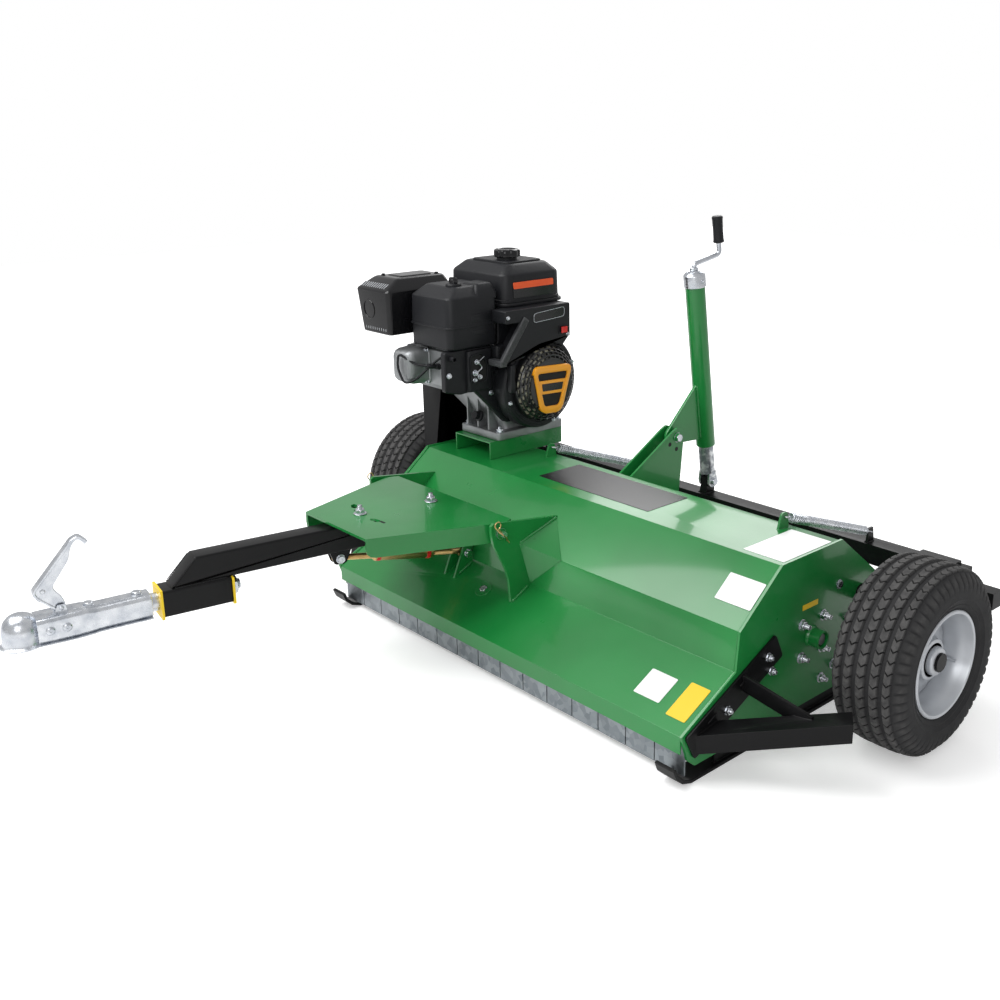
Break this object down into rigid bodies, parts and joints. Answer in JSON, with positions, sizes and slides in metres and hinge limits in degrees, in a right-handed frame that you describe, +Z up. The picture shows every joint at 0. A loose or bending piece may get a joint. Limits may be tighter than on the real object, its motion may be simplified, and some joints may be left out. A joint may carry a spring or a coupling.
{
  "type": "towed flail mower",
  "caption": "Towed flail mower: bent green hood over a belt-driven hammer rotor, own engine, two turf wheels, screw jack and ball coupler.",
  "frame": {"origin": "on the ground under the middle of the whole machine, at the bottom centre of its box", "axes": "+Z up, -Y forwards to the ball coupler, +X to the side away from the engine"},
  "size_m": [1.8, 1.7573, 1.0085],
  "materials": {
    "green": "gloss",
    "black_paint": "satin",
    "zinc": "bright",
    "galvanised": "satin",
    "tyre": "matte",
    "rim": "satin",
    "cast_aluminium": "matte",
    "black_plastic": "satin",
    "yellow_zinc": "satin",
    "belt": "matte",
    "steel": "satin",
    "red_plastic": "gloss"
  },
  "bodies": {
    "deck": {"hood": "green", "side_plate_left": "green", "side_plate_right": "green", "engine_bed": "green", "hitch_ear_left": "green", "hitch_ear_right": "green", "jack_bracket": "green", "flap_rod": "steel", "belt_guard": "black_paint", "skid_left": "black_paint", "skid_right": "black_paint", "wheel_guard_left": "black_paint", "wheel_guard_right": "black_paint", "bearing_left": "green", "bearing_right": "green", "engine_block": "cast_aluminium", "fan_shroud": "black_plastic", "recoil_cover": "black_paint", "fuel_tank": "black_plastic", "air_cleaner": "black_plastic", "muffler": "black_paint", "drive_belt": "belt", "spring_left": "zinc", "spring_right": "zinc"},
    "rotor": {"rotor": "steel"},
    "clutch": {"clutch_pulley": "steel"},
    "flap_01_plate": {"flap_01": "galvanised"},
    "flap_02_plate": {"flap_02": "galvanised"},
    "flap_03_plate": {"flap_03": "galvanised"},
    "flap_04_plate": {"flap_04": "galvanised"},
    "flap_05_plate": {"flap_05": "galvanised"},
    "flap_06_plate": {"flap_06": "galvanised"},
    "flap_07_plate": {"flap_07": "galvanised"},
    "flap_08_plate": {"flap_08": "galvanised"},
    "flap_09_plate": {"flap_09": "galvanised"},
    "flap_10_plate": {"flap_10": "galvanised"},
    "flap_11_plate": {"flap_11": "galvanised"},
    "flap_12_plate": {"flap_12": "galvanised"},
    "flap_13_plate": {"flap_13": "galvanised"},
    "flap_14_plate": {"flap_14": "galvanised"},
    "flap_15_plate": {"flap_15": "galvanised"},
    "starter_grip": {"recoil_grip": "black_plastic"},
    "filler_cap": {"fuel_cap": "black_plastic"},
    "ignition_rocker": {"engine_switch": "red_plastic"},
    "throttle": {"throttle_lever": "steel"},
    "hitch": {"hitch_plate": "green"},
    "tow_bar": {"drawbar": "black_paint"},
    "screw_sleeve": {"turnbuckle_sleeve": "yellow_zinc"},
    "screw_rod": {"turnbuckle_rod": "yellow_zinc"},
    "coupler": {"coupler_body": "zinc"},
    "latch_lever": {"coupler_lever": "zinc"},
    "axle": {"axle_frame": "black_paint"},
    "wheel_left": {"tyre_left": "tyre", "rim_left": "rim"},
    "wheel_right": {"tyre_right": "tyre", "rim_right": "rim"},
    "jack": {"jack_tube": "green"},
    "jack_rod": {"jack_inner": "zinc"},
    "crank": {"crank_handle": "zinc"},
    "crank_knob": {"crank_grip": "black_plastic"}
  },
  "joints": [
    {"name": "rotor_spin", "type": "hinge", "parent": "deck", "child": "rotor", "pos_m": [0, 0.42069, 0.187], "axis": [1, 0, 0], "continuous": true},
    {"name": "clutch_spin", "type": "hinge", "parent": "deck", "child": "clutch", "pos_m": [-0.66, 0.49369, 0.575], "axis": [1, 0, 0], "continuous": true},
    {"name": "flap_01_swing", "type": "hinge", "parent": "deck", "child": "flap_01_plate", "pos_m": [-0.5637, 0.02869, 0.092], "axis": [1, 0, 0], "range_deg": [-5, 80]},
    {"name": "flap_02_swing", "type": "hinge", "parent": "deck", "child": "flap_02_plate", "pos_m": [-0.4832, 0.02869, 0.092], "axis": [1, 0, 0], "range_deg": [-20, 80]},
    {"name": "flap_03_swing", "type": "hinge", "parent": "deck", "child": "flap_03_plate", "pos_m": [-0.4027, 0.02869, 0.092], "axis": [1, 0, 0], "range_deg": [-20, 80]},
    {"name": "flap_04_swing", "type": "hinge", "parent": "deck", "child": "flap_04_plate", "pos_m": [-0.3222, 0.02869, 0.092], "axis": [1, 0, 0], "range_deg": [-20, 80]},
    {"name": "flap_05_swing", "type": "hinge", "parent": "deck", "child": "flap_05_plate", "pos_m": [-0.2417, 0.02869, 0.092], "axis": [1, 0, 0], "range_deg": [-20, 80]},
    {"name": "flap_06_swing", "type": "hinge", "parent": "deck", "child": "flap_06_plate", "pos_m": [-0.1612, 0.02869, 0.092], "axis": [1, 0, 0], "range_deg": [-20, 80]},
    {"name": "flap_07_swing", "type": "hinge", "parent": "deck", "child": "flap_07_plate", "pos_m": [-0.0807, 0.02869, 0.092], "axis": [1, 0, 0], "range_deg": [-20, 80]},
    {"name": "flap_08_swing", "type": "hinge", "parent": "deck", "child": "flap_08_plate", "pos_m": [-0.0002, 0.02869, 0.092], "axis": [1, 0, 0], "range_deg": [-20, 80]},
    {"name": "flap_09_swing", "type": "hinge", "parent": "deck", "child": "flap_09_plate", "pos_m": [0.0803, 0.02869, 0.092], "axis": [1, 0, 0], "range_deg": [-20, 80]},
    {"name": "flap_10_swing", "type": "hinge", "parent": "deck", "child": "flap_10_plate", "pos_m": [0.1608, 0.02869, 0.092], "axis": [1, 0, 0], "range_deg": [-20, 80]},
    {"name": "flap_11_swing", "type": "hinge", "parent": "deck", "child": "flap_11_plate", "pos_m": [0.2413, 0.02869, 0.092], "axis": [1, 0, 0], "range_deg": [-20, 80]},
    {"name": "flap_12_swing", "type": "hinge", "parent": "deck", "child": "flap_12_plate", "pos_m": [0.3218, 0.02869, 0.092], "axis": [1, 0, 0], "range_deg": [-20, 80]},
    {"name": "flap_13_swing", "type": "hinge", "parent": "deck", "child": "flap_13_plate", "pos_m": [0.4023, 0.02869, 0.092], "axis": [1, 0, 0], "range_deg": [-20, 80]},
    {"name": "flap_14_swing", "type": "hinge", "parent": "deck", "child": "flap_14_plate", "pos_m": [0.4828, 0.02869, 0.092], "axis": [1, 0, 0], "range_deg": [-20, 80]},
    {"name": "flap_15_swing", "type": "hinge", "parent": "deck", "child": "flap_15_plate", "pos_m": [0.5633, 0.02869, 0.092], "axis": [1, 0, 0], "range_deg": [-5, 80]},
    {"name": "starter_pull", "type": "slide", "parent": "deck", "child": "starter_grip", "axis": [0.5, -0.866, 0], "range_m": [0, 0.6], "stiffness_N_per_m": 12},
    {"name": "fuel_cap_turn", "type": "hinge", "parent": "deck", "child": "filler_cap", "pos_m": [-0.445, 0.47469, 0.8993], "axis": [0, 0, 1], "range_deg": [0, 90]},
    {"name": "ignition_rock", "type": "hinge", "parent": "deck", "child": "ignition_rocker", "pos_m": [-0.3147, 0.55369, 0.712], "axis": [0, 0, 1], "range_deg": [-12, 12]},
    {"name": "throttle_swing", "type": "hinge", "parent": "deck", "child": "throttle", "pos_m": [-0.3854, 0.33869, 0.64], "axis": [1, 0, 0], "range_deg": [-25, 25]},
    {"name": "hitch_tilt", "type": "hinge", "parent": "deck", "child": "hitch", "pos_m": [-0.2665, 0.08569, 0.338], "axis": [1, 0, 0], "range_deg": [-4, 4]},
    {"name": "drawbar_swing", "type": "hinge", "parent": "hitch", "child": "tow_bar", "pos_m": [-0.2665, 0.07169, 0.32], "axis": [0, 0, 1], "range_deg": [-2, 2]},
    {"name": "turnbuckle_pitch", "type": "hinge", "parent": "tow_bar", "child": "screw_sleeve", "pos_m": [-0.30661, -0.16798, 0.268], "axis": [0.9863, -0.165, 0], "range_deg": [-1.2, 1.2]},
    {"name": "turnbuckle_screw", "type": "slide", "parent": "screw_sleeve", "child": "screw_rod", "axis": [0.1626, 0.9719, -0.1702], "range_m": [-0.009, 0.009]},
    {"name": "coupler_roll", "type": "hinge", "parent": "tow_bar", "child": "coupler", "pos_m": [-0.2665, 0.07169, 0.26], "axis": [0.165, 0.9863, 0], "continuous": true},
    {"name": "coupler_latch", "type": "hinge", "parent": "coupler", "child": "latch_lever", "pos_m": [-0.40547, -0.75876, 0.2975], "axis": [0.9863, -0.165, 0], "range_deg": [-30, 0]},
    {"name": "axle_lift", "type": "hinge", "parent": "deck", "child": "axle", "pos_m": [0, 0.59869, 0.235], "axis": [1, 0, 0], "range_deg": [-7, 8], "deforming": ["spring_left", "spring_right"]},
    {"name": "wheel_left_spin", "type": "hinge", "parent": "axle", "child": "wheel_left", "pos_m": [-0.8175, 0.48169, 0.2], "axis": [1, 0, 0], "continuous": true},
    {"name": "wheel_right_spin", "type": "hinge", "parent": "axle", "child": "wheel_right", "pos_m": [0.8175, 0.48169, 0.2], "axis": [1, 0, 0], "continuous": true},
    {"name": "jack_tilt", "type": "hinge", "parent": "deck", "child": "jack", "pos_m": [-0.06, 0.70569, 0.44], "axis": [1, 0, 0], "range_deg": [-2, 2]},
    {"name": "jack_slide", "type": "slide", "parent": "jack", "child": "jack_rod", "axis": [0, -0.1305, 0.9914], "range_m": [-0.036, 0.041]},
    {"name": "crank_turn", "type": "hinge", "parent": "jack", "child": "crank", "pos_m": [-0.06, 0.83773, 0.45738], "axis": [0, -0.1305, 0.9914], "range_deg": [-2150, 2450]},
    {"name": "crank_grip_spin", "type": "hinge", "parent": "crank", "child": "crank_knob", "pos_m": [-0.03878, 0.91626, 0.46772], "axis": [0, -0.1305, 0.9914], "continuous": true}
  ],
  "couplings": [
    {"joint": "clutch_spin", "follows": "rotor_spin", "ratio": 1.1071},
    {"joint": "turnbuckle_pitch", "follows": "hitch_tilt", "ratio": -0.2622},
    {"joint": "turnbuckle_screw", "follows": "hitch_tilt", "m_per_rad": -0.11116},
    {"joint": "jack_tilt", "follows": "axle_lift", "ratio": -0.1178},
    {"joint": "jack_slide", "follows": "axle_lift", "m_per_rad": 0.2806},
    {"joint": "crank_turn", "follows": "axle_lift", "ratio": 293.84}
  ]
}
